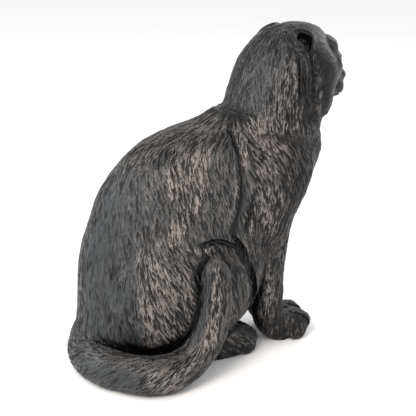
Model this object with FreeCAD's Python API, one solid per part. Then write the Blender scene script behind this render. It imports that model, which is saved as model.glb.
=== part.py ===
"""Seated ceramic cat figurine, built the way it is cast and luted together.

Units are millimetres.  The cat looks along -Y and sits on the plane z = 0; +X is its left side and -X
its right side.  The torso and the head are hollow castings that meet at a sloping neck seam and share
one cavity, which breathes through a vent hole in the base.  Ears, eyes, legs, feet and tail are solid
pressings luted onto them, so each one is relieved where it beds on its neighbour.  The whole figure is
moved at the end so that the origin is under the middle of its bounding box.
"""

import FreeCAD
import Part

import math
import os

from FreeCAD import Vector

# Driving dimensions.
WALL = 5.0                    # wall of the two hollow castings
VENT_RADIUS = 6.0             # vent hole in the base
VENT_Y = 22.0
NECK_BACK = (-36.0, 156.0)    # (y, z) where the neck seam meets the nape
NECK_FRONT = (-104.0, 139.0)  # (y, z) where it meets the throat
FIGURE_SPAN = 400.0           # larger than the figure, for cutting tools
SECTION_POINTS = 16           # interpolation points round a section

LEFT, RIGHT = 1, -1
SHOULDER_Z = 110.0
FORELEG_STEP = {LEFT: (3.0, 7.0), RIGHT: (0.0, 0.0)}   # the left paw stands further in and further forward


class Egg:
    """A horizontal egg-shaped section: its front, back and widest line in y, and its half width in x."""

    def __init__(self, z, front, back, half_width, wide):
        self.z, self.front, self.back = z, front, back
        self.half_width, self.wide = half_width, wide

    def blend(self, other, z):
        share = (z - self.z) / (other.z - self.z)

        def mix(a, b):
            return a + (b - a) * share

        return Egg(z, mix(self.front, other.front), mix(self.back, other.back),
                   mix(self.half_width, other.half_width), mix(self.wide, other.wide))

    def wire(self):
        points = []
        for i in range(SECTION_POINTS):
            angle = 2 * math.pi * i / SECTION_POINTS
            reach = self.front if math.cos(angle) > 0 else self.back
            y = self.wide + (reach - self.wide) * abs(math.cos(angle))
            points.append(Vector(self.half_width * math.sin(angle), y, self.z))
        return closed_curve(points)


TORSO = [
    Egg(0, -6, 51, 36, 21),
    Egg(7, -16, 58, 41, 18),
    Egg(16, -34, 61.5, 45, 13),
    Egg(26, -50, 61, 47, 8),
    Egg(38, -59, 60, 48, 4),
    Egg(52, -65, 59.5, 48, -1),
    Egg(66, -71, 58.5, 47, -7),
    Egg(80, -77, 55.5, 45, -14),
    Egg(94, -85, 50.5, 43, -22),
    Egg(107, -95.5, 46, 40.5, -31),
    Egg(119, -102.5, 38, 38, -40),
    Egg(129, -105.5, 29, 35.5, -48),
    Egg(137, -104.5, 18.5, 33, -55),
    Egg(144, -103, 0.5, 30.5, -62),
    Egg(151, -102, -24, 29, -67),
    Egg(160, -102, -41, 28.5, -71),
]

HEAD = [
    Egg(128, -97, -50, 27, -72),
    Egg(138, -101, -42, 30, -73),
    Egg(147, -104, -40, 33, -74),
    Egg(156, -106, -41, 35, -76),
    Egg(165, -107, -44, 36, -78),
    Egg(174, -107.5, -47.5, 36, -79),
    Egg(183, -108, -51.5, 35, -80),
    Egg(191, -108, -57, 32, -82),
    Egg(198, -107, -63, 27, -84),
    Egg(203, -105, -70, 20, -86),
    Egg(206.5, -100, -78, 12, -88),
    Egg(208, -94, -84, 4, -89),
]


def closed_curve(points):
    curve = Part.BSplineCurve()
    curve.interpolate(points, PeriodicFlag=True)
    return Part.Wire([curve.toShape()])


def loft(wires):
    return Part.makeLoft(wires, True, False)


def section_at(sections, z):
    """The section at height z, mixed from its two neighbours in the list."""
    z = min(max(z, sections[0].z), sections[-1].z)
    for low, high in zip(sections, sections[1:]):
        if z <= high.z:
            return low.blend(high, z)
    return sections[-1]


def cavity(sections, heights):
    """The hollow inside a casting, a wall's thickness inside the tightest of the sections near each height."""
    wires = []
    for z in heights:
        near = [section_at(sections, z + shift) for shift in (-WALL, 0, WALL)]
        wires.append(Egg(z, max(s.front for s in near) + WALL, min(s.back for s in near) - WALL,
                         min(s.half_width for s in near) - WALL, section_at(sections, z).wide).wire())
    return loft(wires)


def ellipsoid(centre, radii, pitch=0.0, yaw=0.0):
    """An ellipsoid, tipped about X by pitch and then turned about Z by yaw, in degrees."""
    scale = FreeCAD.Matrix()
    scale.scale(*radii)
    solid = Part.makeSphere(1.0).transformGeometry(scale)
    solid.rotate(Vector(), Vector(1, 0, 0), pitch)
    solid.rotate(Vector(), Vector(0, 0, 1), yaw)
    solid.translate(Vector(*centre))
    return solid


def limb(stations):
    """A limb lofted through level ellipses: (z, x, y, half width in x, half depth in y)."""
    wires = []
    for z, x, y, half_x, half_y in stations:
        wires.append(closed_curve([
            Vector(x + half_x * math.cos(2 * math.pi * i / SECTION_POINTS),
                   y + half_y * math.sin(2 * math.pi * i / SECTION_POINTS), z)
            for i in range(SECTION_POINTS)]))
    return loft(wires)


def above_ground(shape):
    block = Part.makeBox(FIGURE_SPAN, FIGURE_SPAN, FIGURE_SPAN, Vector(-FIGURE_SPAN / 2, -FIGURE_SPAN / 2, 0))
    return shape.common(block)


def neck_block(above):
    """The half space above or below the sloping neck seam, as a large box."""
    run = NECK_BACK[0] - NECK_FRONT[0]
    slope = math.degrees(math.atan2(NECK_BACK[1] - NECK_FRONT[1], run))
    base = 0 if above else -FIGURE_SPAN
    block = Part.makeBox(FIGURE_SPAN, FIGURE_SPAN, FIGURE_SPAN, Vector(-FIGURE_SPAN / 2, -FIGURE_SPAN / 2, base))
    block.rotate(Vector(), Vector(1, 0, 0), slope)
    block.translate(Vector(0, NECK_BACK[0], NECK_BACK[1]))
    return block


def main_solid(shape):
    """The largest solid of a boolean result, which drops slivers."""
    return max(shape.Solids, key=lambda s: s.Volume)


def torso():
    outer = loft([s.wire() for s in TORSO]).common(neck_block(above=False))
    hollow = cavity(TORSO, [WALL, 13, 23, 33, 48, 64, 80, 96, 112, 126, 140, 152, 166])
    vent = Part.makeCylinder(VENT_RADIUS, 2 * WALL, Vector(0, VENT_Y, -WALL / 2))
    return outer, main_solid(outer.cut(hollow).cut(vent))


def head():
    features = [
        ellipsoid((0, -108, 167), (15, 14.5, 9.5)),                # muzzle
        ellipsoid((0, -106.5, 178), (7.5, 14, 14), pitch=-18),      # bridge of the nose
        ellipsoid((0, -121, 172), (5, 4.5, 4)),                     # nose
    ]
    for side in (LEFT, RIGHT):
        features.append(ellipsoid((side * 10, -101, 193), (11, 11.5, 8.5)))   # brow
        features.append(ellipsoid((side * 9, -104, 181), (12, 11.5, 13)))       # flat of the face
        features.append(ellipsoid((side * 24, -88, 163), (12, 13.5, 14)))       # cheek
    skull = loft([s.wire() for s in HEAD])
    outer = main_solid(skull.fuse(features).common(neck_block(above=True)))
    hollow = cavity(HEAD, [126, 138, 148, 158, 168, 178, 188, 197])
    return outer, main_solid(outer.cut(hollow))


def foreleg(side):
    step = FORELEG_STEP[side]
    stations = [
        (0, 12.5, -74, 7, 7), (4, 12.5, -71, 8.5, 9.5), (11, 12.5, -67.5, 9.5, 11), (20, 13, -64.5, 9.5, 10.5),
        (36, 15, -63.5, 9.5, 10), (53, 18.5, -60, 11, 12), (70, 22.5, -56.5, 12.5, 15.5),
        (84, 25.5, -54.5, 13.5, 18), (100, 27, -57.5, 14.5, 21.5), (114, 27, -61, 14, 24),
        (127, 25.5, -65, 12, 21.5), (137, 23, -68, 8.5, 14)]
    shin = limb([(z, side * (x - inward(z, step)), y - forward(z, step), half_x, half_y)
                 for z, x, y, half_x, half_y in stations])
    x, y = side * (12.5 - step[0]), -80 - step[1]
    paw = ellipsoid((x, y, 8), (11, 14, 8.5))
    return shin.fuse([paw] + toes(x, y - 6, 11.5, 0))


def inward(z, step):
    """How far a foreleg is drawn towards the middle at height z, fading out at the shoulder."""
    return step[0] * max(0.0, 1 - z / SHOULDER_Z)


def forward(z, step):
    return step[1] * max(0.0, 1 - z / SHOULDER_Z)


def toes(x, y, spread, yaw):
    """Four toes fanned across the front of a paw whose middle toe joint is at (x, y)."""
    made = []
    for place in (-1.5, -0.5, 0.5, 1.5):
        back = 1.6 * place * place
        made.append(ellipsoid((x + place * spread / 2, y + back, 6.5), (3.6, 7, 6.8), yaw=yaw))
    return made


def hind_foot(side):
    sole = ellipsoid((side * 23, -12, 5), (9, 32, 9), yaw=side * 8)
    paw = ellipsoid((side * 20.5, -38.5, 8), (11.5, 14, 9.5))
    return sole.fuse([paw] + toes(side * 20.5, -44.5, 12, 0))


def haunch(side):
    thigh = ellipsoid((side * 31.5, 8, 46), (22.5, 37, 38), pitch=-12)
    knee = ellipsoid((side * 31, -14, 53), (20, 26, 32), pitch=6)
    return thigh.fuse(knee)


TAIL = [  # (x, y, z, radius), root to tip
    (6, 50, 13, 13), (-7, 59, 12, 12), (-24, 60, 11.5, 11.5), (-42, 54, 11.5, 11.5), (-55.5, 43, 11.5, 11.5),
    (-61, 30, 11.5, 11.5), (-60, 18, 13, 11), (-58, 8, 18, 10.5), (-57.5, 0.5, 27, 10.5), (-57.5, -4.5, 39, 10),
    (-57.5, -6.5, 52, 9.5), (-57.5, -6.5, 65, 8.5),
]


def tail():
    """A round tapering tail along a smooth path, with a domed tip."""
    path = Part.BSplineCurve()
    path.interpolate([Vector(x, y, z) for x, y, z, _ in TAIL])
    wires = []
    for x, y, z, radius in TAIL:
        at = path.parameter(Vector(x, y, z))
        wires.append(Part.Wire([Part.Circle(Vector(x, y, z), path.tangent(at)[0], radius).toShape()]))
    x, y, z, radius = TAIL[-1]
    return loft(wires).fuse(ellipsoid((x, y, z), (radius, radius, radius * 1.5)))


def ear(side):
    flap = ellipsoid((side * 20.5, -80, 197), (8, 10, 7.8), pitch=-20)
    bowl = ellipsoid((side * 26.5, -82, 199.5), (5.5, 5.5, 6), pitch=-20)
    return flap.cut(bowl)


def eye(side):
    return ellipsoid((side * 14.5, -108.3, 184), (5.2, 5.2, 5))


def build():
    torso_outer, torso_shell = torso()
    head_outer, head_shell = head()
    nodes = {"tail": main_solid(above_ground(tail()).cut(torso_outer))}
    for side, name in ((LEFT, "left"), (RIGHT, "right")):
        leg = above_ground(foreleg(side)).cut(torso_outer)
        thigh = above_ground(haunch(side)).cut(torso_outer)
        foot = above_ground(hind_foot(side)).cut(torso_outer)
        if side == RIGHT:
            leg = leg.cut(nodes["left_foreleg"])
            thigh = thigh.cut(nodes["tail"])
            foot = foot.cut(nodes["tail"])
        nodes[name + "_foreleg"] = main_solid(leg)
        nodes[name + "_haunch"] = main_solid(thigh.cut(leg))
        nodes[name + "_hind_foot"] = main_solid(foot.cut(thigh).cut(leg))
        nodes[name + "_ear"] = main_solid(ear(side).cut(head_outer))
        nodes[name + "_eye"] = main_solid(eye(side))
        head_shell = main_solid(head_shell.cut(nodes[name + "_eye"]))
    nodes["torso"] = torso_shell
    nodes["head"] = head_shell
    return nodes


def export(nodes):
    os.makedirs("parts", exist_ok=True)
    box = Part.makeCompound(list(nodes.values())).optimalBoundingBox()
    middle = Vector(-box.Center.x, -box.Center.y, 0)
    for name, solid in nodes.items():
        solid.translate(middle)
        solid.exportStep(f"parts/{name}.step")
        print(f"{name}: {solid.Volume / 1000:.1f} cm3, valid {solid.isValid()}, shift {middle.x:.2f} {middle.y:.2f}")


export(build())
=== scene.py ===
"""Looks of the seated ceramic cat: one carved skin over the CAD pieces, cut back into those pieces.

The CAD solids are read from the frame as distance fields and melted together, the face, ruff and
grooves are carved into that field, and its surface is combed with raised strokes of fur.  Everything
is worked out in millimetres in the row frame and turned to metres when a mesh is made.
"""

import math

import bmesh
import bpy
import numpy as np
import openvdb
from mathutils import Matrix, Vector


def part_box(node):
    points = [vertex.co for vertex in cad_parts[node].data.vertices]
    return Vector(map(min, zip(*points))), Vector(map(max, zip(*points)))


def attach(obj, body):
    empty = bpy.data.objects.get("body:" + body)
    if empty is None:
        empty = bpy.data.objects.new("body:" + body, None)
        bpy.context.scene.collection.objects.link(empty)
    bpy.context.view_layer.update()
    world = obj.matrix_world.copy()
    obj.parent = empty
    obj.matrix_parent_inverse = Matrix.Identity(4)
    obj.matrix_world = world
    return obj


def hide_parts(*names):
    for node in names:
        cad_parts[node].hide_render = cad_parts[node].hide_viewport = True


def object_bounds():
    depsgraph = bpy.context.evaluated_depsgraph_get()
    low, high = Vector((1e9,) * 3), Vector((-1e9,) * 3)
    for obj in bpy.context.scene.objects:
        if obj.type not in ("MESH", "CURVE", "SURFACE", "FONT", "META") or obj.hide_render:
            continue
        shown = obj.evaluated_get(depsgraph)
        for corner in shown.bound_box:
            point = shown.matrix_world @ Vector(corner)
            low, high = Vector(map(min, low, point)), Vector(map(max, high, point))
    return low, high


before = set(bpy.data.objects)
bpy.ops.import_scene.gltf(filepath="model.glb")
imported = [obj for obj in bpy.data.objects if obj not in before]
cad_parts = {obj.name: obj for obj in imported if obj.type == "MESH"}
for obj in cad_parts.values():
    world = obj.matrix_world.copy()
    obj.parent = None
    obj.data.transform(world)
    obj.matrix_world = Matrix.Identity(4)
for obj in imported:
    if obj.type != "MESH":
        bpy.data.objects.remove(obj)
CAD_BOX = [list(corner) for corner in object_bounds()]

MM = 0.001
STEP = 0.52      # grid spacing of the skin, mm
REACH = 9.0                             # how far the distance fields are followed, mm
FILL_DEPTH = 2.4                        # a hollow casting is filled from this far under its skin, mm
BATCH = 2.5e4                           # stroke stations worked out at once, which bounds the memory
rng = np.random.default_rng(7)


def box_mm(node):
    low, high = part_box(node)
    return np.array(low) / MM, np.array(high) / MM


EYES = [np.mean(box_mm(n), axis=0) for n in ("right_eye", "left_eye")]
# The sculptor's origin: midline, 108.3 mm behind the eyes' centres, on the table.
ORIGIN = np.array([(EYES[0][0] + EYES[1][0]) / 2, (EYES[0][1] + EYES[1][1]) / 2 + 108.3, 0.0])
GRID_LOW = np.array(CAD_BOX[0]) / MM - 5
GRID_SIZE = np.ceil((np.array(CAD_BOX[1]) / MM + 5 - GRID_LOW) / STEP).astype(int)


def at(x, y, z):
    """A point given from the sculptor's origin, in the row frame."""
    return ORIGIN + np.array([x, y, z], float)


# ---------------------------------------------------------------- distance fields

class Block:
    """A window of the grid holding a distance in millimetres."""

    def __init__(self, low, values):
        self.low, self.values = np.array(low, int), values

    def window(self):
        return tuple(slice(a, a + n) for a, n in zip(self.low, self.values.shape))

    def axes(self):
        """The row-frame coordinates along each axis, shaped to broadcast."""
        out = []
        for k in range(3):
            shape = [1, 1, 1]
            shape[k] = -1
            line = GRID_LOW[k] + STEP * (self.low[k] + np.arange(self.values.shape[k]))
            out.append(line.reshape(shape).astype(np.float32))
        return out

    def sample(self, points, outside=REACH):
        """Trilinear values at points; outside the window the given value."""
        g = (points - GRID_LOW) / STEP - self.low
        size = np.array(self.values.shape)
        ok = ((g >= 0) & (g < size - 1.001)).all(1)
        g = np.clip(g, 0, size - 1.001)
        i = g.astype(np.int64)
        f = (g - i).astype(np.float32)
        flat = self.values.ravel()
        sy, sx = size[2], size[1] * size[2]
        at0 = i[:, 0] * sx + i[:, 1] * sy + i[:, 2]
        total = np.zeros(len(points), np.float32)
        for dx in (0, 1):
            for dy in (0, 1):
                for dz in (0, 1):
                    weight = (f[:, 0] if dx else 1 - f[:, 0]) * (f[:, 1] if dy else 1 - f[:, 1]) \
                        * (f[:, 2] if dz else 1 - f[:, 2])
                    total += weight * flat[at0 + dx * sx + dy * sy + dz]
        total[~ok] = outside
        return total


def window_for(low, high):
    """The grid window that covers a box in millimetres, clipped to the grid."""
    a = np.clip(np.floor((low - GRID_LOW) / STEP).astype(int), 0, GRID_SIZE - 4)
    b = np.clip(np.ceil((high - GRID_LOW) / STEP).astype(int), a + 4, GRID_SIZE)
    return a, b


def level_set(points, triangles, quads, low, high):
    """The distance to a closed surface given in grid units, over a window of the grid."""
    grid = openvdb.FloatGrid.createLevelSetFromPolygons(
        points.astype(np.float32), triangles=triangles, quads=quads,
        transform=openvdb.createLinearTransform(1.0), halfWidth=REACH / STEP)
    values = np.empty(tuple(high - low), np.float32)
    grid.copyToArray(values, ijk=tuple(int(v) for v in low))
    return Block(low, values * STEP)


def shrink(mask, steps):
    for _ in range(steps):
        inner = mask.copy()
        for axis in range(3):
            for shift in (1, -1):
                inner &= np.roll(mask, shift, axis)
        mask = inner
    return mask


def node_field(name, hollow=False):
    """The distance to a CAD node.  A hollow casting is filled first."""
    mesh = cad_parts[name].data
    mesh.calc_loop_triangles()
    co = np.empty(len(mesh.vertices) * 3, np.float32)
    mesh.vertices.foreach_get("co", co)
    tris = np.empty(len(mesh.loop_triangles) * 3, np.int32)
    mesh.loop_triangles.foreach_get("vertices", tris)
    points = (co.reshape(-1, 3) / MM - GRID_LOW) / STEP
    low, high = window_for(co.reshape(-1, 3).min(0) / MM - REACH, co.reshape(-1, 3).max(0) / MM + REACH)
    none = np.empty((0, 4), np.int32)
    block = level_set(points, tris.reshape(-1, 3), none, low, high)
    if not hollow:
        return block
    solid = block.values < 0
    inside = np.maximum.accumulate(solid, axis=0) & np.maximum.accumulate(solid[::-1], axis=0)[::-1]
    core = shrink(inside, int(FILL_DEPTH / STEP))
    values = np.where(inside, -np.abs(block.values), block.values)
    values[core] = -FILL_DEPTH
    filled = openvdb.FloatGrid()
    filled.copyFromArray(values)
    points, tris, quads = filled.convertToPolygons(isovalue=0.0)
    return level_set(points + low, tris.astype(np.int32), quads.astype(np.int32), low, high)


def melt(a, b, k):
    """The union of two distances, rounded where they meet over a width k."""
    near = np.maximum(k - np.abs(a - b), 0) / k
    return np.minimum(a, b) - near * near * k * 0.25


def carve(a, b, k):
    """a with b cut out of it, the edge rounded over a width k."""
    return -melt(-a, b, k)


def add(body, block, k):
    body[block.window()] = melt(body[block.window()], block.values, k)


def cut(body, block, k):
    body[block.window()] = carve(body[block.window()], block.values, k)


def egg(centre, radii, pitch=0.0, yaw=0.0):
    """An ellipsoid about a point, tipped about X and then turned about Z, in degrees."""
    radii = np.array(radii, float)
    low, high = window_for(centre - radii.max() - 4, centre + radii.max() + 4)
    block = Block(low, np.empty(tuple(high - low), np.float32))
    x, y, z = (axis - c for axis, c in zip(block.axes(), centre))
    a, b = math.radians(yaw), math.radians(pitch)
    x, y = x * math.cos(a) + y * math.sin(a), y * math.cos(a) - x * math.sin(a)
    y, z = y * math.cos(b) + z * math.sin(b), z * math.cos(b) - y * math.sin(b)
    near = np.sqrt((x / radii[0]) ** 2 + (y / radii[1]) ** 2 + (z / radii[2]) ** 2)
    slope = np.sqrt((x / radii[0] ** 2) ** 2 + (y / radii[1] ** 2) ** 2 + (z / radii[2] ** 2) ** 2)
    block.values = (near * (near - 1) / np.maximum(slope, 1e-6)).astype(np.float32)
    return block


def rope(points, radii):
    """A chain of tapering capsules through points."""
    points = np.array(points, float)
    radii = np.broadcast_to(np.array(radii, float), (len(points),))
    low, high = window_for(points.min(0) - radii.max() - 4, points.max(0) + radii.max() + 4)
    block = Block(low, np.full(tuple(high - low), REACH, np.float32))
    x, y, z = block.axes()
    for p, q, rp, rq in zip(points, points[1:], radii, radii[1:]):
        d = q - p
        t = ((x - p[0]) * d[0] + (y - p[1]) * d[1] + (z - p[2]) * d[2]) / (d @ d)
        t = np.clip(t, 0, 1)
        away = np.sqrt((x - p[0] - t * d[0]) ** 2 + (y - p[1] - t * d[1]) ** 2 + (z - p[2] - t * d[2]) ** 2)
        block.values = np.minimum(block.values, away - (rp + t * (rq - rp))).astype(np.float32)
    return block


def ramp(value, start, end):
    """0 at start and 1 at end, smooth between."""
    t = np.clip((value - start) / (end - start), 0, 1)
    return t * t * (3 - 2 * t)


HOLLOW = ("torso", "head")
PIECES = ["torso", "head", "left_ear", "right_ear", "left_foreleg", "right_foreleg", "left_haunch",
          "right_haunch", "left_hind_foot", "right_hind_foot", "tail"]
SOLIDS = {name: node_field(name, name in HOLLOW) for name in PIECES}


def unit(v):
    return v / np.maximum(np.linalg.norm(v, axis=1, keepdims=True), 1e-9)


def slope(field, points, reach=1.2):
    """The unit outward normal of a field."""
    out = np.empty_like(points)
    for k in range(3):
        shift = np.zeros(3)
        shift[k] = reach
        out[:, k] = field.sample(points + shift) - field.sample(points - shift)
    return unit(out)


def settle(field, chain, lift=0.0, swell=0.0):
    """A chain laid on the surface with a point every 2 mm, raised by lift, and by swell between its ends."""
    chain = np.array(chain, float)
    run = np.concatenate([[0], np.cumsum(np.linalg.norm(np.diff(chain, axis=0), axis=1))])
    along = np.linspace(0, run[-1], max(4, int(run[-1] / 2)))
    points = np.stack([np.interp(along, run, chain[:, k]) for k in range(3)], 1)
    for _ in range(6):
        points -= slope(field, points) * field.sample(points)[:, None]
    fade = np.sin(np.pi * np.linspace(0.04, 0.96, len(points))) ** 0.5
    return points + slope(field, points) * (lift + swell * fade)[:, None]


def groove(field, chain, radius, depth, k=1.0):
    """A channel of the given depth along a chain laid on the surface, fading at its ends."""
    cut(field.values, rope(settle(field, chain, radius, -depth), radius), k)


def welt(field, chain, radius, height, k=1.5):
    """A raised ridge of the given height along a chain laid on the surface, fading at its ends."""
    add(field.values, rope(settle(field, chain, -radius, height), radius), k)


def mark(places, field, chain, lift, radius):
    """Adds a rope along a chain laid on the surface to a list of marked places."""
    places.append(rope(settle(field, chain, lift), radius))


def both(points):
    """The same chain of points on the left and on the right."""
    for side in (1, -1):
        yield [at(side * x, y, z) for x, y, z in points]


def sculpt():
    """The whole figure as one field."""
    body = np.full(tuple(GRID_SIZE), REACH, np.float32)
    whole = Block((0, 0, 0), body)
    add(body, SOLIDS["torso"], 1.0)
    carve_shoulders(whole)
    for side in ("left", "right"):
        thigh = SOLIDS[side + "_haunch"]
        y = thigh.axes()[1] - ORIGIN[1]
        fuller = thigh.values - 1.2 * (1 - ramp(thigh.values, 4, REACH))
        body[thigh.window()] = melt(body[thigh.window()], fuller, 2.0 + (REACH - 2) * ramp(y, -5, 35))
        leg = SOLIDS[side + "_foreleg"]
        y, z = leg.axes()[1] - ORIGIN[1], leg.axes()[2]
        soft = 1.6 + 8 * ramp(-y, 45, 75) * ramp(z, 60, 90) + 6 * ramp(z, 95, 115)
        add(body, leg, np.minimum(soft, REACH))
        add(body, SOLIDS[side + "_hind_foot"], 1.2)
    carve_knees(whole)
    carve_paws(whole)
    tail = SOLIDS["tail"]
    x, y = tail.axes()[0] - ORIGIN[0], tail.axes()[1] - ORIGIN[1]
    add(body, tail, 0.5 + (REACH - 0.5) * ramp(x, -30, -8))
    y = SOLIDS["head"].axes()[1] - ORIGIN[1]
    add(body, SOLIDS["head"], 5.0 + (REACH - 5) * ramp(-y, 40, 65))
    carve_face(whole)
    carve_ears(whole)
    return whole


def carve_shoulders(whole):
    """The hollow behind each shoulder, with the flank standing proud along its back edge."""
    for chain in both([(24, -33, 148), (31, -35.5, 136), (36, -37, 124), (39, -37, 111),
                       (41, -34, 100), (43.5, -29, 90), (43, -31, 80)]):
        groove(whole, chain, 5.0, 2.6, 1.5)
    for chain in both([(24, -31.5, 147), (30, -33, 137), (36.5, -33.5, 127), (40, -33, 115),
                       (42.5, -29.5, 102), (44.5, -25, 92), (44.5, -28, 83), (43.5, -33, 76)]):
        groove(whole, chain, 1.1, 1.2, 0.6)
        # Painted shade along the back edge of the shoulder hollow.
        mark(SHADE_PLACES, whole, chain, 0.2, 0.5)
    # A painted cool reflection along the shoulder hollow.
    for chain in both([(37, -38.5, 127), (38.5, -38, 115), (40.5, -35, 102)]):
        mark(COOL_REFLECTION_PLACES, whole, chain, 0.2, 2.2)
    for chain in both([(21.5, -28.5, 147), (28, -29.5, 139), (35, -30.5, 129), (39, -30, 115),
                       (42, -26.5, 102), (43.7, -21.5, 92), (44, -23, 85)]):
        welt(whole, chain, 1.6, 1.0, 0.8)
    for chain in both([(43.6, -23.5, 92), (44, -26, 86), (43.5, -31, 79), (43.5, -34.5, 72),
                       (43, -36.5, 63)]):
        groove(whole, chain, 1.4, 2.0, 0.6)
    for chain in both([(40, -41.5, 112), (40, -38.5, 100), (43, -34, 89), (41.5, -37, 79)]):
        groove(whole, chain, 1.4, 1.4, 0.6)


def carve_knees(whole):
    """The deep crease over the top and down the front of each thigh, opening between thigh and foreleg."""
    for side in (1, -1):
        add(whole.values, egg(at(side * 36.5, -15, 61), (10, 20, 21)), 4.0)
    for chain in both([(44, -5, 83), (43, -12, 84.3), (42, -18, 82.8), (42, -25.5, 79), (43, -30, 73),
                       (44, -34, 64), (43.8, -36.5, 53)]):
        groove(whole, chain, 1.5, 2.2, 1.0)
        # Painted shade down in the knee crease.
        mark(SHADE_PLACES, whole, chain, 0.4, 0.9)
    for chain in both([(43, -36.5, 64), (38.5, -41, 55), (33, -45, 45), (25, -49, 35), (18, -51, 28)]):
        groove(whole, chain, 3.6, 4.5, 1.0)
        # Painted shade in the opening between thigh and foreleg.
        mark(SHADE_PLACES, whole, chain, 0.5, 4.2)


def carve_paws(whole):
    """Clefts between the toes and a fold at each wrist."""
    cut(whole.values, egg(at(9.5, -95, 21.5), (16, 14, 5.5), -6, 0), 2.0)
    add(whole.values, egg(at(-12.5, -83, 10.2), (10.5, 13, 8.6)), 3.0)
    for x, y in ((9.5, -87), (-12.5, -80)):
        for offset in (-5.8, 0, 5.8):
            back = 0.05 * offset * offset
            line = [at(x + offset, y - 13.5 + back, 2.5), at(x + offset, y - 13.5 + back, 7),
                    at(x + offset, y - 10 + back, 13), at(x + offset * 0.9, y - 3 + back, 17)]
            groove(whole, line, 1.1, 1.7, 0.6)
        for sign in (1, -1):
            line = [at(x + sign * 11, y + 3, 3), at(x + sign * 10.5, y + 0.5, 9), at(x + sign * 8, y + 2, 16)]
            groove(whole, line, 1.2, 1.1, 0.8)
    for x in (20.5, -20.5):
        add(whole.values, egg(at(x, -33, 11), (11, 14, 9.6)), 3.0)
        for offset in (-6, 0, 6):
            back = 0.05 * offset * offset
            line = [at(x + offset, -51.5 + back, 2.5), at(x + offset, -51.5 + back, 8),
                    at(x + offset, -48 + back, 14), at(x + offset * 0.9, -39 + back, 19.5)]
            groove(whole, line, 1.1, 1.7, 0.6)


def carve_face(whole):
    """Cheek ruff, eyelids, nose, mouth and the fold under the chin."""
    for chain in both([(31, -78.5, 192), (34, -78.5, 183), (35.5, -77.5, 174), (35.8, -78, 166),
                       (35, -81, 160)]):
        welt(whole, chain, 2.0, 2.6, 0.6)
        mark(BARE, whole, chain, 0.0, 2.0)
    for chain in both([(30.5, -83, 193), (33.5, -83, 183), (35, -82.5, 174), (35.5, -82.5, 166)]):
        groove(whole, chain, 1.8, 1.6, 0.8)
    for chain in both([(30, -75, 191), (33, -74.5, 182), (34.5, -73.5, 173), (35, -74, 166)]):
        groove(whole, chain, 1.4, 1.4, 0.6)
        # Painted shade in the groove beside the cheek ridge.
        mark(SHADE_PLACES, whole, chain, 0.3, 0.3)
    for chain in both([(-5, -104, 139), (6, -103, 139.5), (14, -100, 141), (21, -94, 143.5), (27, -87, 146)]):
        groove(whole, chain, 7.0, 1.4, 3.5)
    for chain in both([(27, -90, 144.5), (31.5, -83, 145), (33, -74, 146.2), (32, -65, 147.6),
                       (30, -58, 149)]):
        welt(whole, chain, 7.0, 1.6, 6.0)
    add(whole.values, egg(at(0, -111.5, 173), (9, 11.5, 8)), 4.0)
    for side in (1, -1):
        add(whole.values, egg(at(side * 16, -95, 177), (15, 13.5, 17)), 6.0)
        add(whole.values, egg(at(side * 9, -104, 181), (12, 11.5, 13)), 4.0)
        eye = EYES[0] if side < 0 else EYES[1]
        add(whole.values, egg(eye + [0, 0.3, 0], (6.6, 6.3, 6.0)), 2.0)
        across, out = np.array([side * 0.89, 0.45, 0]), np.array([side * 0.45, -0.89, 0])
        slit = [eye + across * a + out * math.sqrt(33 - a * a - b * b) + [0, 0, b]
                for a, b in ((-4.2, -1.6), (-2.2, -0.5), (0.2, 0.2), (2.5, 0.9), (4.5, 1.9))]
        cut(whole.values, rope(slit, [0.9, 2.5, 3.1, 2.5, 0.9]), 0.5)
        add(whole.values, egg(at(side * 5.5, -114.5, 165), (6.5, 5.5, 5.0)), 2.5)
    add(whole.values, egg(at(0, -122.2, 171.5), (4.2, 2.2, 2.8)), 1.0)
    for chain in both([(0, -126, 168.5), (0, -124, 164.5), (4, -121, 161.8), (9, -117, 161.5),
                       (13, -111, 163)]):
        groove(whole, chain, 0.8, 0.9, 0.5)
    for chain in both([(2.0, -126, 171), (3.4, -125, 170), (4.4, -123, 170.6)]):
        groove(whole, chain, 0.7, 0.7, 0.5)


def carve_ears(whole):
    """Low folded ears, each a rim round a hollow that is painted black with shade."""
    for side in (1, -1):
        flap = egg(at(side * 21.5, -79.5, 200.5), (7.5, 8.0, 7.0))
        flap.values = np.maximum(flap.values, whole.values[flap.window()] - 0.9)
        add(whole.values, flap, 2.0)
        rim = [(17.0, -80, 207), (19.0, -87, 205), (25, -87.5, 200.5), (31, -83.5, 195), (30, -77.5, 196.5),
               (24, -74.5, 202), (18.5, -75.5, 206.5), (17.0, -80, 207)]
        line = settle(whole, [at(side * x, y, z) for x, y, z in rim], -0.1)
        add(whole.values, rope(line, 1.25), 0.8)
        BARE.append(rope(line, 1.6))
        bowl = [(20.8, -81, 204.3), (24.8, -81.5, 202), (29.8, -81.6, 196.5)]
        seat = settle(whole, [at(side * x, y, z) for x, y, z in bowl], -1.0)
        hollow = rope(seat, np.interp(np.linspace(0, 1, len(seat)), [0, 0.4, 1], [1.5, 4.7, 1.6]))
        cut(whole.values, hollow, 0.4)
        deeper = rope(seat[1:-1] - 2.6 * slope(SOLIDS["head"], seat[1:-1]), 3.6)
        cut(whole.values, deeper, 0.4)
        # Painted shade down in the ear hollow.
        SHADE_PLACES.append(hollow)
        SHADE_PLACES.append(deeper)


SHADE_PLACES = []                               # places painted black with shade
COOL_REFLECTION_PLACES = []                              # places given the full painted cool reflection
BARE = []                               # ridges that the fur strokes leave bare, and that get the full painted warm highlight
BODY = sculpt()


# ---------------------------------------------------------------- skin

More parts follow.
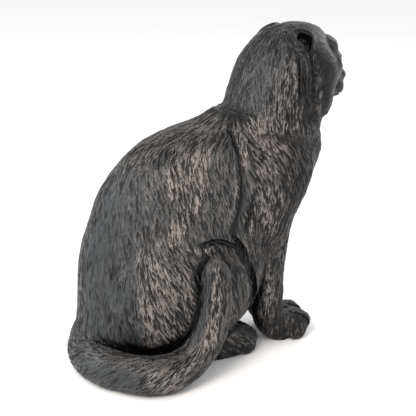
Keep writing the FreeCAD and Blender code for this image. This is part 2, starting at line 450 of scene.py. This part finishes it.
def skin():
    """Vertices (mm), quads and triangles of the surface."""
    grid = openvdb.FloatGrid()
    grid.copyFromArray(BODY.values)
    points, tris, quads = grid.convertToPolygons(isovalue=0.0)
    return GRID_LOW + points.astype(float) * STEP, quads.astype(np.int64), tris.astype(np.int64)


def closeness(points):
    """How much each point belongs to each piece, 0 to 1, blending over a few millimetres."""
    weights = {name: np.exp(-np.maximum(block.sample(points), 0) / 2.5) for name, block in SOLIDS.items()}
    total = sum(weights.values()) + 1e-9
    return {name: w / total for name, w in weights.items()}


def fur_flow(points):
    """The way the hair lies, from root to tip, before it is laid flat on the skin."""
    x, y, z = (points - ORIGIN).T
    side = np.sign(x)
    zero = np.zeros_like(x)
    near = closeness(points)
    back = ramp(y, 20, 50)
    shoulder = ramp(z, 95, 125) * ramp(-y, 25, 50)
    arm = ramp(-y, 40, 60) * ramp(z, 50, 70) * (1 - ramp(z, 100, 125))
    chest = ramp(-y, 85, 98) * ramp(z, 60, 90)
    nape = ramp(z, 120, 145) * ramp(y, -50, -20)
    torso = np.stack([-side * 0.25 * chest, -0.22 * (1 - back) - 0.38 * shoulder + 0.5 * arm + 0.9 * nape,
                      -1.0 + zero], 1)
    haunch = np.stack([zero, -0.45 + 0.35 * back, -1.0 + zero], 1)
    high = ramp(z, 95, 120)
    leg = np.stack([zero, -0.35 * high + 0.3 * ramp(z, 50, 75) * (1 - high), -1.0 + zero], 1)
    foot = np.stack([zero, -1.0 + zero, -0.5 + zero], 1)
    rx, ry = x + 22, y - 22
    rise = ramp(-y, -14, 0)
    tail = unit(np.stack([-ry, rx, zero], 1)) * (1 - rise)[:, None] + np.array([0, 0, 1.0]) * rise[:, None]
    tail[:, 2] += 0.9 * ramp(-x, 0, 30) * (1 - rise)
    face = ramp(-y, 84, 96) * ramp(z, 150, 160)
    head = np.stack([side * (0.25 + 1.2 * face * ramp(z, 186, 196)),
                     0.35 - 0.55 * ramp(-y, 62, 80) + 1.5 * face,
                     -1.0 + 1.1 * face + 0.5 * face * ramp(z, 180, 192)], 1)
    ear = np.stack([side * 0.4, 0.9 + zero, 0.3 + zero], 1)
    flow = near["torso"][:, None] * torso + near["head"][:, None] * head + near["tail"][:, None] * tail
    for s in ("left", "right"):
        flow += near[s + "_haunch"][:, None] * haunch + near[s + "_foreleg"][:, None] * leg
        flow += near[s + "_hind_foot"][:, None] * foot + near[s + "_ear"][:, None] * ear
    return flow


def lay_flat(direction, normal):
    return unit(direction - normal * (direction * normal).sum(1, keepdims=True))


def trace(seeds, length, sway, stations):
    """Paths along the hair from each seed: positions, directions and normals at every station."""
    p = seeds.copy()
    path, ways, normals = [], [], []
    step = (length / (stations - 1))[:, None]
    for _ in range(stations):
        n = slope(BODY, p)
        p = p - n * BODY.sample(p)[:, None]
        t = lay_flat(fur_flow(p), n)
        t = unit(t + np.cross(n, t) * sway[:, None])
        path.append(p.copy())
        ways.append(t)
        normals.append(n)
        p = p + t * step
    return np.stack(path, 1), np.stack(ways, 1), np.stack(normals, 1)


class Cells:
    """Skin vertices sorted into cubes, to find the ones near a point."""

    def __init__(self, points, size):
        self.size = size
        self.low = points.min(0) - 2 * size
        self.count = np.ceil((points.max(0) - self.low) / size).astype(np.int64) + 3
        keys = self.key(np.floor((points - self.low) / size).astype(np.int64))
        self.order = np.argsort(keys, kind="stable")
        self.keys = keys[self.order]

    def key(self, cell):
        return (cell[:, 0] * self.count[1] + cell[:, 1]) * self.count[2] + cell[:, 2]

    def near(self, points):
        """Pairs (index of point, index of vertex) in the same or a neighbouring cube."""
        cell = np.floor((points - self.low) / self.size).astype(np.int64)
        first, last = [], []
        for dx in (-1, 0, 1):
            for dy in (-1, 0, 1):
                base = self.key(cell + np.array([dx, dy, 0]))
                first.append(np.searchsorted(self.keys, base - 1, "left"))
                last.append(np.searchsorted(self.keys, base + 1, "right"))
        first, last = np.concatenate(first), np.concatenate(last)
        runs = np.tile(np.arange(len(points)), 9)
        lengths = last - first
        who = np.repeat(runs, lengths)
        offset = np.arange(lengths.sum()) - np.repeat(np.cumsum(lengths) - lengths, lengths)
        return who, self.order[np.repeat(first, lengths) + offset]


def comb(points, seeds, length, half_width, tone, sway, stations=9):
    """Raised strokes along the hair.  Returns height 0 to 1 and the tone of the stroke on top."""
    height = np.zeros(len(points), np.float32)
    shade = np.full(len(points), 0.5, np.float32)
    cells = Cells(points, float(half_width.max() + length.max() / (stations - 1) * 0.5 + 0.1))
    chunk = max(1, int(BATCH / stations))
    for start in range(0, len(seeds), chunk):
        s = slice(start, start + chunk)
        path, ways, normals = trace(seeds[s], length[s], sway[s], stations)
        count = len(path)
        who, vertex = cells.near(path.reshape(-1, 3))
        stroke, station = who // stations, who % stations
        away = points[vertex] - path.reshape(-1, 3)[who]
        t, n = ways.reshape(-1, 3)[who], normals.reshape(-1, 3)[who]
        along = (away * t).sum(1)
        deep = (away * n).sum(1)
        aside = np.sqrt(np.maximum((away * away).sum(1) - along * along - deep * deep, 0))
        step = (length[s] / (stations - 1))[stroke]
        u = (station + along / step) / (stations - 1)
        width = half_width[s][stroke] * np.clip(np.sin(np.pi * np.clip(u, 0, 1) ** 0.75), 0, 1) ** 0.7
        ok = (np.abs(along) <= 0.55 * step) & (np.abs(deep) < 2.5) & (aside < width) & (u > 0) & (u < 1)
        u, aside, width, vertex, stroke = u[ok], aside[ok], width[ok], vertex[ok], stroke[ok]
        value = (1 - (aside / width) ** 2) * (0.4 + 0.6 * u) * (1 - ramp(u, 0.9, 1.0) * 0.5)
        value = value.astype(np.float32) * (0.75 + 0.25 * tone[s][stroke])
        np.maximum.at(height, vertex, value)
        top = value == height[vertex]
        shade[vertex[top]] = tone[s][stroke][top]
        del who
    return height, shade


POINTS, QUADS, TRIS = skin()
NORMALS = slope(BODY, POINTS)
NEAR = closeness(POINTS)


def face_share(points):
    """1 on the nearly bare flat of the face, 0 elsewhere."""
    y, z = (points - ORIGIN).T[1:]
    return ramp(-y + 5 * ramp(z, 178, 196), 86, 95) * ramp(z, 150, 160)


def fur_scale(points):
    """How long and coarse the fur is: 1 on the body, less on the face and the feet."""
    z = points[:, 2] - ORIGIN[2]
    near = closeness(points)
    feet = near["left_hind_foot"] + near["right_hind_foot"]
    legs = near["left_foreleg"] + near["right_foreleg"]
    paw = np.clip(feet + legs * (1 - ramp(z, 14, 30)), 0, 1)
    face = face_share(points)
    ears = near["left_ear"] + near["right_ear"]
    scale = 1 - 0.25 * near["head"] - 0.2 * legs
    scale = scale * (1 - 0.65 * face) * (1 - 0.45 * paw) * (1 - 0.4 * ears)
    for block in BARE:
        scale = scale * (1 - 0.75 * (1 - ramp(block.sample(points), 0.5, 3.0)))
    return scale


def drift(points, size):
    """A slow irregular wave over the skin, about -1 to 1."""
    total = np.zeros(len(points))
    for way, phase in zip(rng.normal(0, 1, (7, 3)), rng.random(7)):
        total += np.sin(points @ (way / size) + 6.283 * phase)
    return total / 3.5


def bump(value, start, rise, fall, end):
    return ramp(value, start, rise) * (1 - ramp(value, fall, end))


LOCK_AREA, HAIR_AREA = 34.0, 4.2        # skin to each lock and to each hair, mm2
LOCK_LENGTH, LOCK_HALF_WIDTH = 22.0, 2.6
HAIR_LENGTH, HAIR_HALF_WIDTH = 6.0, 0.62
LOCK_HEIGHT, HAIR_HEIGHT = 0.9, 0.95


def fur():
    """The height of the fur over the skin, mm, and the marks the finish needs."""
    scale = fur_scale(POINTS)
    area = len(POINTS) * STEP ** 2
    pick = rng.choice(len(POINTS), int(area / LOCK_AREA), replace=False)
    size = fur_scale(POINTS[pick])
    locks, _ = comb(POINTS, POINTS[pick], LOCK_LENGTH * size, LOCK_HALF_WIDTH * size + 0.6,
                    rng.random(len(pick)), rng.normal(0, 0.10, len(pick)), 13)
    pick = rng.choice(len(POINTS), int(area / HAIR_AREA), replace=False)
    size = fur_scale(POINTS[pick])
    hair, tone = comb(POINTS, POINTS[pick], (HAIR_LENGTH + 7 * rng.random(len(pick))) * size,
                      (HAIR_HALF_WIDTH + 0.40 * rng.random(len(pick))) * (0.5 + 0.5 * size),
                      rng.random(len(pick)), rng.normal(0, 0.15, len(pick)))
    hair = ramp(hair, 0.10, 0.88) * (1 - 0.4 * face_share(POINTS))
    warm, cool = zones(tone)
    ground = ramp(POINTS[:, 2], 0.3, 2.5)
    lift = LOCK_HEIGHT * (locks - 0.45) + HAIR_HEIGHT * (1 - 0.4 * cool) * (hair - 0.6)
    lift *= ground * scale
    return lift, hair, tone, locks, warm, cool


# The rear and front edges of the painted warm highlight on the flank, (height, y) from the sculptor's origin.
WARM_FROM = ((22, 35), (36, 38), (61, 40), (77, 34), (85, 26), (93, 18), (105, 12), (127, 11), (138, 1),
             (146, -9))
WARM_TO = ((78, -60), (82, 12), (87, 9), (96, 4), (104, -6), (115, -8.5), (127, -9.5), (137, -17),
           (147, -29))


def edge_at(z, edge):
    """Where an edge of the brushing lies along the body, mm, at each height."""
    return np.interp(z, [a for a, b in edge], [b for a, b in edge])


def zones(tone):
    """Where a warm highlight is painted, on the flanks, and where a cool reflection is painted, towards the
    back, both mostly by the way the surface faces.
    """
    n = slope(BODY, POINTS, 3.0)
    y, z = (POINTS - ORIGIN).T[1:]
    turn = np.degrees(np.arctan2(np.abs(n[:, 0]), n[:, 1])) + 9 * drift(POINTS, 9) + 34 * (tone - 0.5)
    legs = sum(NEAR[s + "_foreleg"] + NEAR[s + "_hind_foot"] for s in ("left", "right"))
    turn += 7 * legs - 12 * NEAR["head"] - 14 * NEAR["tail"] * (1 - ramp(z, 30, 45))
    flat = 1 - ramp(n[:, 2], 0.45, 0.75)
    along = y + 2.5 * drift(POINTS, 6) + 5 * (tone - 0.5)
    behind = along - edge_at(z, WARM_FROM)
    past = ramp(edge_at(z, WARM_TO) - along, -1.5, 2.5) * (1 - ramp(-y, 31, 36))
    patch = bump(behind, 0, 3, 9, 16) * ramp(drift(POINTS, 5), -0.2, 0.3)
    behind = ramp(behind, -1.5, 1.5)
    trunk = np.clip(NEAR["torso"] + NEAR["left_haunch"] + NEAR["right_haunch"], 0, 1)
    cool = trunk * (behind * ramp(turn, 4, 14) * (1 - 0.7 * patch) + 0.7 * past * (1 - behind))
    cool += (1 - trunk) * bump(turn, 4, 14, 42, 48) * (1 - 0.5 * NEAR["head"]) * (1 - legs)
    cool = np.maximum(cool * flat, 0.5 * face_share(POINTS) * (1 - ramp(n[:, 2], 0.1, 0.6)))
    # The marked places get the full painted cool reflection.
    for block in COOL_REFLECTION_PLACES:
        cool = np.maximum(cool, 1 - ramp(block.sample(POINTS), 0, 1.5))
    warm = trunk * (1 - behind) * (1 - 0.7 * past) * (1 - ramp(turn, 88, 104))
    warm += (1 - trunk) * np.maximum(bump(turn, 50, 58, 80, 96), 0.6 * legs * bump(turn, 30, 45, 96, 110))
    warm *= 1 - 0.2 * (NEAR["left_haunch"] + NEAR["right_haunch"])
    warm *= 1 - 0.8 * NEAR["head"] * ramp(-y, 79.5, 83)
    # Bare ridges get the full painted warm highlight.
    for block in BARE:
        warm = np.maximum(warm, 1 - ramp(block.sample(POINTS), -0.2, 1.2))
    warm *= flat * (1 - 0.5 * NEAR["head"]) * (1 - 0.6 * cool) * (1 - 0.6 * legs * (1 - ramp(z, 12, 30)))
    # Torso surfaces facing upwards get a weaker painted warm highlight.
    return np.maximum(warm, 0.38 * (1 - flat) * NEAR["torso"]), cool


LIFT, HAIR, TONE, LOCKS, WARM, COOL = fur()


def shade_in_creases(points, normals):
    """How much painted shade a point gets: 0 on open skin, towards 1 down in a crease."""
    total = np.zeros(len(points))
    for reach in (2.0, 4.0, 7.0):
        total += np.clip((reach - BODY.sample(points + normals * reach)) / reach, 0, 1.2)
    total /= 3
    for block in SHADE_PLACES:
        total = np.maximum(total, 1 - ramp(block.sample(points), 0.2, 1.8))
    return total


CREASE_SHADE = shade_in_creases(POINTS, NORMALS)
SHAPED = POINTS + NORMALS * LIFT[:, None]
SHAPED[:, 2] = np.maximum(SHAPED[:, 2], 0)


def shaped_normals():
    """One smooth normal for each skin vertex, so that shading runs on across the pieces' edges."""
    total = np.zeros_like(SHAPED)
    for faces, ends in ((QUADS, ((0, 2), (1, 3))), (TRIS, ((0, 1), (0, 2)))):
        (a, b), (c, d) = ends
        flat = np.cross(SHAPED[faces[:, b]] - SHAPED[faces[:, a]], SHAPED[faces[:, d]] - SHAPED[faces[:, c]])
        for corner in range(faces.shape[1]):
            for k in range(3):
                total[:, k] += np.bincount(faces[:, corner], flat[:, k], len(total))
    return unit(total)


SHADING = shaped_normals()


# ---------------------------------------------------------------- finish

SHADE_BLACK = (0.0008, 0.0008, 0.0008)          # painted shade: black in the grooves between strokes and down in the creases
CHARCOAL = (0.008, 0.008, 0.0077)
WEAR_AND_HIGHLIGHT = (0.078, 0.073, 0.070)            # grey worn crests, also a painted highlight on the ridges
COOL_REFLECTION = (0.031, 0.035, 0.037)            # painted cool reflection
# Painted warm light on the ground between the crests.
WARM_LIT_GROUND = (0.045, 0.042, 0.040)
WARM_HIGHLIGHT = (0.215, 0.190, 0.177)      # painted warm highlight on the crests
EYE_DARK, EYE_PALE = (0.004, 0.004, 0.004), (0.02, 0.02, 0.019)


class Finish:
    """A material being made, with short ways to add nodes to it."""

    def __init__(self, name):
        self.material = bpy.data.materials.new(name)
        self.material.use_nodes = True
        self.nodes, self.links = self.material.node_tree.nodes, self.material.node_tree.links
        self.shader = self.nodes["Principled BSDF"]

    def feed(self, socket, value):
        """Sets a socket to a number or a colour, or links another node to it."""
        if isinstance(value, tuple):
            socket.default_value = (*value, 1)
        elif isinstance(value, (int, float)):
            socket.default_value = value
        else:
            self.links.new(value, socket)

    def calc(self, kind, a, b):
        node = self.nodes.new("ShaderNodeMath")
        node.operation = kind
        self.feed(node.inputs[0], a)
        self.feed(node.inputs[1], b)
        return node.outputs[0]

    def add(self, a, b):
        return self.calc("ADD", a, b)

    def less(self, a, b):
        return self.calc("SUBTRACT", a, b)

    def times(self, a, b):
        return self.calc("MULTIPLY", a, b)

    def mix(self, share, a, b):
        node = self.nodes.new("ShaderNodeMix")
        node.data_type = "RGBA"
        for socket, value in zip((node.inputs[0], node.inputs[6], node.inputs[7]), (share, a, b)):
            self.feed(socket, value)
        return node.outputs[2]

    def rise(self, value, low, high):
        """0 below low and 1 above high, smooth between."""
        node = self.nodes.new("ShaderNodeMapRange")
        node.interpolation_type = "SMOOTHSTEP"
        node.inputs["From Min"].default_value = low
        node.inputs["From Max"].default_value = high
        self.feed(node.inputs["Value"], value)
        return node.outputs[0]

    def noise(self, scale, detail, stretch=(1, 1, 1)):
        mapping = self.nodes.new("ShaderNodeMapping")
        mapping.inputs["Scale"].default_value = stretch
        self.feed(mapping.inputs["Vector"], self.nodes.new("ShaderNodeTexCoord").outputs["Object"])
        node = self.nodes.new("ShaderNodeTexNoise")
        node.inputs["Scale"].default_value = scale
        node.inputs["Detail"].default_value = detail
        self.feed(node.inputs["Vector"], mapping.outputs[0])
        return node.outputs[0]

    def layer(self, name):
        """The three values that the skin carries under this name."""
        node = self.nodes.new("ShaderNodeAttribute")
        node.attribute_name = name
        split = self.nodes.new("ShaderNodeSeparateColor")
        self.feed(split.inputs[0], node.outputs["Color"])
        return split.outputs

    def relief(self, height, strength, distance):
        node = self.nodes.new("ShaderNodeBump")
        node.inputs["Strength"].default_value = strength
        node.inputs["Distance"].default_value = distance
        self.feed(node.inputs["Height"], height)
        self.feed(self.shader.inputs["Normal"], node.outputs[0])


def ceramic(name):
    """Charcoal glaze, with painted shade black in the cuts, a painted cool reflection towards the back, and a
    painted warm highlight on the flank crests.
    """
    f = Finish(name)
    hair, tone, hollow = f.layer("marks")
    warm, cool, lock = f.layer("zones")
    blotch, grain, streak = f.noise(60, 5), f.noise(2600, 3), f.noise(900, 2, (1, 1, 0.16))
    ragged = f.add(hair, f.times(f.less(streak, 0.5), 0.7))
    crest = f.rise(ragged, 0.5, 0.92)
    bright = f.add(f.times(tone, 0.7), f.add(f.times(blotch, 0.6), f.times(lock, 0.3)))
    cool_sheen = f.rise(f.add(ragged, f.times(bright, 0.5)), 0.25, 1.25)
    warm_glint = f.times(f.rise(ragged, 0.58, 0.98), f.rise(bright, 0.40, 0.95))
    # Painted shade: the grooves between the strokes are painted black.
    colour = f.mix(f.rise(ragged, 0.15, 0.85), SHADE_BLACK, CHARCOAL)
    # Painted warm light on the ground between the crests, in the warm zone.
    colour = f.mix(f.times(f.times(warm, 0.5), f.rise(ragged, 0.1, 0.6)), colour, WARM_LIT_GROUND)
    # Grey crests: wear, and a painted highlight on the ridges.
    colour = f.mix(f.times(crest, f.rise(bright, 0.40, 1.05)), colour, WEAR_AND_HIGHLIGHT)
    # Painted cool reflection, towards the back and on the face.
    colour = f.mix(f.times(f.times(cool, 0.85), cool_sheen), colour, COOL_REFLECTION)
    # Painted warm highlight on the higher, brighter flank crests.
    colour = f.mix(f.times(warm, warm_glint), colour, WARM_HIGHLIGHT)
    # Painted shade: creases and the marked shade places are painted black.
    colour = f.mix(f.rise(hollow, 0.10, 0.42), colour, SHADE_BLACK)
    f.feed(f.shader.inputs["Base Color"], colour)
    worn = f.less(0.40, f.times(crest, 0.12))
    f.feed(f.shader.inputs["Roughness"], f.add(f.times(f.less(grain, 0.5), 0.2), worn))
    f.shader.inputs["IOR"].default_value = 1.33
    f.relief(f.add(streak, f.times(grain, 0.25)), 0.5, 0.0004)
    return f.material


def eye_glaze():
    """Black gloss with a faint crawl in the glaze."""
    f = Finish("eye_glaze")
    cloud = f.noise(700, 3)
    f.feed(f.shader.inputs["Base Color"], f.mix(cloud, EYE_DARK, EYE_PALE))
    f.feed(f.shader.inputs["Roughness"], f.rise(cloud, -0.6, 3.2))
    f.relief(cloud, 0.1, 0.0002)
    return f.material


FINISH = {name: ceramic(name) for name in ("body_ceramic", "head_ceramic", "tail_ceramic")}
FINISH["eye_glaze"] = eye_glaze()
SLOTS = {"head": "head_ceramic", "left_ear": "head_ceramic", "right_ear": "head_ceramic",
         "tail": "tail_ceramic"}


# ---------------------------------------------------------------- pieces

def finish_piece(obj, node, slot):
    bpy.context.scene.collection.objects.link(obj)
    obj.data.materials.append(FINISH[slot])
    obj.data.shade_smooth()
    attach(obj, "root")
    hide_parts(node)
    return obj


def close_seams(mesh):
    """Fills each open edge with a face of its own, out of sight inside the joint."""
    work = bmesh.new()
    work.from_mesh(mesh)
    rim = [e for e in work.edges if e.is_boundary]
    made = bmesh.ops.holes_fill(work, edges=rim, sides=0)["faces"]
    made = bmesh.ops.triangulate(work, faces=made)["faces"]
    bmesh.ops.split(work, geom=made)
    work.to_mesh(mesh)
    work.free()


def cut_apart():
    """The skin shared out among the pieces, each face to the nearest CAD solid."""
    faces = np.vstack([QUADS, np.column_stack([TRIS, np.full(len(TRIS), -1)])]) if len(TRIS) else QUADS
    corners = np.where(faces < 0, faces[:, :1], faces)
    centres = POINTS[corners].mean(1)
    owner = np.argmin(np.stack([SOLIDS[name].sample(centres) for name in PIECES]), axis=0)
    for index, name in enumerate(PIECES):
        mine = faces[owner == index]
        used, compact = np.unique(mine[mine >= 0], return_inverse=True)
        flat = np.full(mine.shape, -1)
        flat[mine >= 0] = compact
        mesh = bpy.data.meshes.new(name)
        mesh.from_pydata((SHAPED[used] * MM).tolist(), [], [[v for v in f if v >= 0] for f in flat.tolist()])
        for layer, columns in (("marks", (HAIR, TONE, CREASE_SHADE)), ("zones", (WARM, COOL, LOCKS))):
            values = np.column_stack([c[used] for c in columns] + [np.ones(len(used))]).astype(np.float32)
            mesh.color_attributes.new(layer, "FLOAT_COLOR", "POINT").data.foreach_set("color", values.ravel())
        close_seams(mesh)
        obj = finish_piece(bpy.data.objects.new("skin_" + name, mesh), name, SLOTS.get(name, "body_ceramic"))
        directions = np.zeros((len(mesh.vertices), 3))
        directions[:len(used)] = SHADING[used]
        obj.data.normals_split_custom_set_from_vertices(directions.tolist())


def eye_beads():
    for node in ("left_eye", "right_eye"):
        low, high = box_mm(node)
        ball = bmesh.new()
        bmesh.ops.create_uvsphere(ball, u_segments=48, v_segments=32, radius=1.0)
        centre, half = (low + high) / 2, (high - low) / 2
        for v in ball.verts:
            v.co = Vector((centre + half * np.array(v.co)) * MM)
        mesh = bpy.data.meshes.new(node)
        ball.to_mesh(mesh)
        ball.free()
        finish_piece(bpy.data.objects.new("bead_" + node, mesh), node, "eye_glaze")


cut_apart()
eye_beads()


# ---------------------------------------------------------------- studio

def floor():
    mesh = bpy.data.meshes.new("floor")
    mesh.from_pydata([(-60, -60, 0), (60, -60, 0), (60, 60, 0), (-60, 60, 0)], [], [(0, 1, 2, 3)])
    plane = bpy.data.objects.new("floor", mesh)
    bpy.context.scene.collection.objects.link(plane)
    matt = Finish("floor")
    matt.feed(matt.shader.inputs["Base Color"], (0.9, 0.9, 0.9))
    matt.feed(matt.shader.inputs["Roughness"], 0.9)
    mesh.materials.append(matt.material)


def direction(azimuth, elevation):
    a, e = math.radians(azimuth), math.radians(elevation)
    return Vector((math.sin(a) * math.cos(e), -math.cos(a) * math.cos(e), math.sin(e)))


CENTRE = Vector([(a + b) / 2 for a, b in zip(*CAD_BOX)])


def panel(name, azimuth, elevation, distance, width, height, power, colour):
    light = bpy.data.lights.new(name, "AREA")
    light.shape = "RECTANGLE"
    light.size, light.size_y = width, height
    light.energy, light.color = power, colour
    lamp = bpy.data.objects.new(name, light)
    bpy.context.scene.collection.objects.link(lamp)
    lamp.location = CENTRE + direction(azimuth, elevation) * distance
    lamp.rotation_mode = "QUATERNION"
    lamp.rotation_quaternion = (-direction(azimuth, elevation)).to_track_quat("-Z", "Y")


def studio():
    world = bpy.data.worlds.new("studio")
    bpy.context.scene.world = world
    world.use_nodes = True
    world.node_tree.nodes["Background"].inputs[0].default_value = (1, 1, 1, 1)
    world.node_tree.nodes["Background"].inputs[1].default_value = 1.0
    panel("cool_panel", 155, 25, 1.1, 0.55, 0.9, 5, (0.80, 0.92, 1.0))
    panel("warm_panel", 225, 35, 1.0, 0.30, 0.6, 9, (1.0, 0.92, 0.86))
    panel("front_panel", 20, 30, 1.2, 0.6, 0.8, 4, (1, 1, 1))


VIEW_AZIMUTH, VIEW_ELEVATION = 246, 16  # degrees
VIEW_DISTANCE = 0.709                   # m
VIEW_LENS = 97.2                        # mm, on a 36 mm sensor
AIM = Vector((-0.0007, 0.0047, -0.0041))    # what the camera looks at, from the middle of the box


def camera():
    data = bpy.data.cameras.new("camera")
    eye = bpy.data.objects.new("camera", data)
    bpy.context.scene.collection.objects.link(eye)
    back = direction(VIEW_AZIMUTH, VIEW_ELEVATION)
    eye.location = CENTRE + AIM + back * VIEW_DISTANCE
    eye.rotation_mode = "QUATERNION"
    eye.rotation_quaternion = (-back).to_track_quat("-Z", "Y")
    data.sensor_width = 36
    data.lens = VIEW_LENS
    data.shift_x, data.shift_y = 0.0024, -0.0168
    data.clip_start, data.clip_end = 0.05, 50
    bpy.context.scene.camera = eye


floor()
studio()
camera()
bpy.context.scene.view_settings.view_transform = "Standard"
